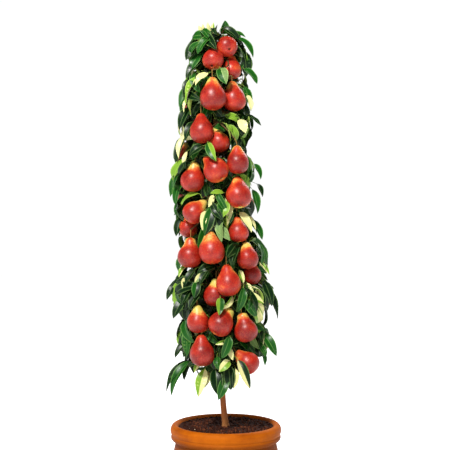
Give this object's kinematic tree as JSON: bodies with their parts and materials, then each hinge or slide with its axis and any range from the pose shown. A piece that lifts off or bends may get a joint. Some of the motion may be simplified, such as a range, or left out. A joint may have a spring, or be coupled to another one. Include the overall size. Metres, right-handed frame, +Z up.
{
  "type": "potted columnar pear tree",
  "caption": "Columnar pear tree in fruit with a slender trunk, short boughs, drooping leaves and red pears, growing in a bellied terracotta pot with a rolled rim.",
  "frame": {"origin": "middle of the pot's flat underside, on the floor", "axes": "+Z up along the tree, -Y towards the side the picture shows, +X to the right of that view"},
  "size_m": [0.36, 0.35, 1.5745],
  "materials": {
    "terracotta": "fired unglazed terracotta",
    "soil": "moist crumbly potting soil",
    "bark": "young smooth brown bark",
    "foliage": "glossy green leaves with red pears"
  },
  "bodies": {
    "root": {"pot": "terracotta", "soil": "soil", "trunk": "bark", "bough_1_front": "bark", "bough_1_right": "bark", "bough_1_left": "bark", "bough_2_right": "bark", "bough_2_back": "bark", "bough_2_left": "bark", "bough_3_front": "bark", "bough_3_right": "bark", "bough_3_left": "bark", "bough_4_right": "bark", "bough_4_back": "bark", "bough_4_left": "bark", "bough_5_front": "bark", "bough_5_right": "bark", "bough_5_left": "bark", "bough_6_right": "bark", "bough_6_back": "bark", "bough_6_left": "bark", "bough_7_front": "bark", "bough_7_right": "bark", "bough_7_left": "bark", "bough_8_right": "bark", "bough_8_back": "bark", "bough_8_left": "bark", "foliage_1_front": "foliage", "foliage_1_right": "foliage", "foliage_1_left": "foliage", "foliage_2_right": "foliage", "foliage_2_back": "foliage", "foliage_2_left": "foliage", "foliage_3_front": "foliage", "foliage_3_right": "foliage", "foliage_3_left": "foliage", "foliage_4_right": "foliage", "foliage_4_back": "foliage", "foliage_4_left": "foliage", "foliage_5_front": "foliage", "foliage_5_right": "foliage", "foliage_5_left": "foliage", "foliage_6_right": "foliage", "foliage_6_back": "foliage", "foliage_6_left": "foliage", "foliage_7_front": "foliage", "foliage_7_right": "foliage", "foliage_7_left": "foliage", "foliage_8_right": "foliage", "foliage_8_back": "foliage", "foliage_8_left": "foliage", "foliage_top": "foliage"}
  },
  "joints": []
}
